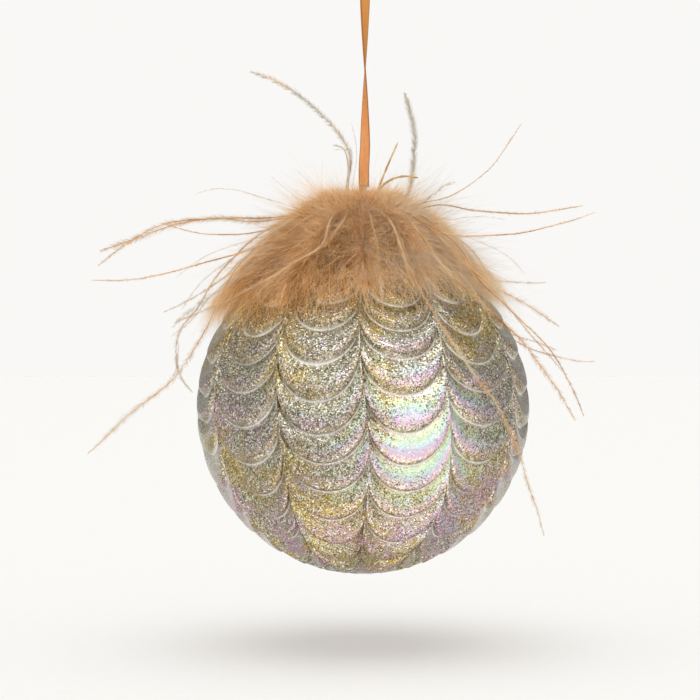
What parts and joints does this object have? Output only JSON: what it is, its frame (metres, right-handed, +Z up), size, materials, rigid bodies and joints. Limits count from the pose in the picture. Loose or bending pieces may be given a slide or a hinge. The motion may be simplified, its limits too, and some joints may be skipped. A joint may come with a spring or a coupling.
{
  "type": "glass ball ornament",
  "caption": "Round glass hanging ornament with stacked swag relief, a fluffy feather collar with long flues over its cap, and a satin ribbon loop.",
  "frame": {"origin": "the middle of the ribbon at the top of its loop, where the loop rests on its hook", "axes": "+Z up, against gravity, the ball hangs below the origin; the ribbon's two strands lie one behind the other along Y; +Y points to the back"},
  "size_m": [0.1543, 0.1212, 0.1972],
  "materials": {
    "glitter_glass": "clear relief glass over a champagne, silver and gold glitter coat, iridescent",
    "cap_metal": "pressed sheet, satin gold",
    "wire_steel": "bright spring wire",
    "satin_ribbon": "woven satin, orange",
    "stringing_cord": "twisted cotton cord",
    "glue": "hot-melt bead",
    "marabou": "fine down barbs, soft",
    "ostrich": "long single flues with short barbules",
    "quill": "bare horny quill"
  },
  "bodies": {
    "ribbon": {"ribbon_loop": "satin_ribbon"},
    "knot": {"ribbon_knot": "satin_ribbon"},
    "hanger": {"hanger_wire": "wire_steel"},
    "cap": {"ornament_cap": "cap_metal", "trim_cord": "stringing_cord", "glue_bead": "glue", "plumes_lower_front": "marabou", "plumes_lower_right": "marabou", "plumes_lower_back": "marabou", "plumes_lower_left": "marabou", "plumes_upper_front": "marabou", "plumes_upper_back": "marabou", "ostrich_flues_left": "ostrich", "ostrich_flues_right": "ostrich", "ostrich_flues_front": "ostrich", "ostrich_flues_back": "ostrich", "ostrich_flues_top": "ostrich", "quill_stubs": "quill"},
    "ball": {"glass_ball": "glitter_glass"}
  },
  "joints": [
    {"name": "ornament_spin", "type": "hinge", "parent": "ribbon", "child": "knot", "pos_m": [0, 0, -0.0793], "axis": [0, 0, 1], "range_deg": [-180, 180]},
    {"name": "ornament_swing", "type": "hinge", "parent": "knot", "child": "hanger", "pos_m": [0, 0, -0.0845], "axis": [1, 0, 0], "range_deg": [-45, 45]},
    {"name": "hanger_pull", "type": "slide", "parent": "hanger", "child": "cap", "axis": [0, 0, -1], "range_m": [0, 0.014]},
    {"name": "cap_pull", "type": "slide", "parent": "cap", "child": "ball", "axis": [0, 0, -1], "range_m": [0, 0.035]}
  ]
}
